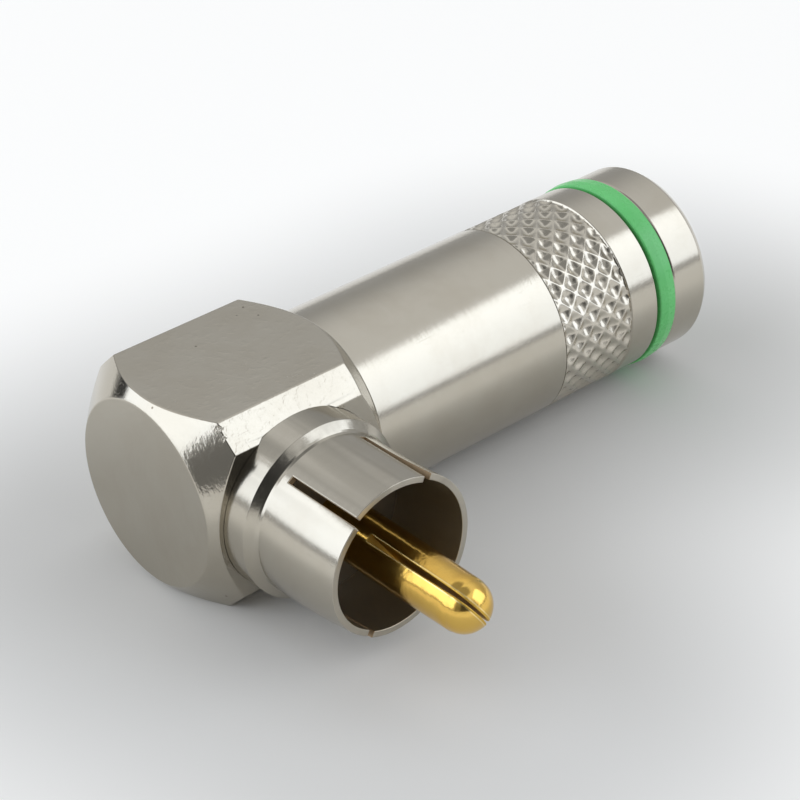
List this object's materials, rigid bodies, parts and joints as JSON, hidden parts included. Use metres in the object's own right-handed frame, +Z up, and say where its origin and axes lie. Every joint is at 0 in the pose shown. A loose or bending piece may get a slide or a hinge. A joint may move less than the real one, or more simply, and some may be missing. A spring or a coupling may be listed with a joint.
{
  "type": "right-angle rca plug",
  "caption": "Right-angle coaxial audio-video plug with a slotted shell, a split centre pin, a knurled barrel and a compression plunger with a coloured ring.",
  "frame": {"origin": "centre of the elbow's lower flat, straight below the crossing of the plug axis and the cable axis", "axes": "+X along the barrel towards the cable's mouth, -Y along the pin towards its tip, +Z up, away from the lower flat"},
  "size_m": [0.0388, 0.0266, 0.0121],
  "materials": {
    "nickel": "nickel plate over turned and milled brass, satin bright",
    "gold": "gold plate over brass, bright",
    "tinned_brass": "tin plate over brass, satin",
    "green_plastic": "moulded acetal, smooth",
    "black_plastic": "moulded, matte",
    "white_plastic": "turned insulator, matte",
    "rubber": "moulded seal"
  },
  "bodies": {
    "plug_body": {"elbow_body": "nickel", "plug_shell": "nickel", "pin_insulator": "black_plastic", "center_pin": "gold", "contact_socket": "gold", "socket_insulator": "white_plastic", "cable_post": "tinned_brass", "barrel": "nickel"},
    "plunger": {"compression_ferrule": "green_plastic", "sleeve_seal": "rubber", "end_cap": "nickel", "jacket_seal": "rubber"}
  },
  "joints": [
    {"name": "plunger_slide", "type": "slide", "parent": "plug_body", "child": "plunger", "axis": [1, 0, 0], "range_m": [0, 0.006]}
  ]
}
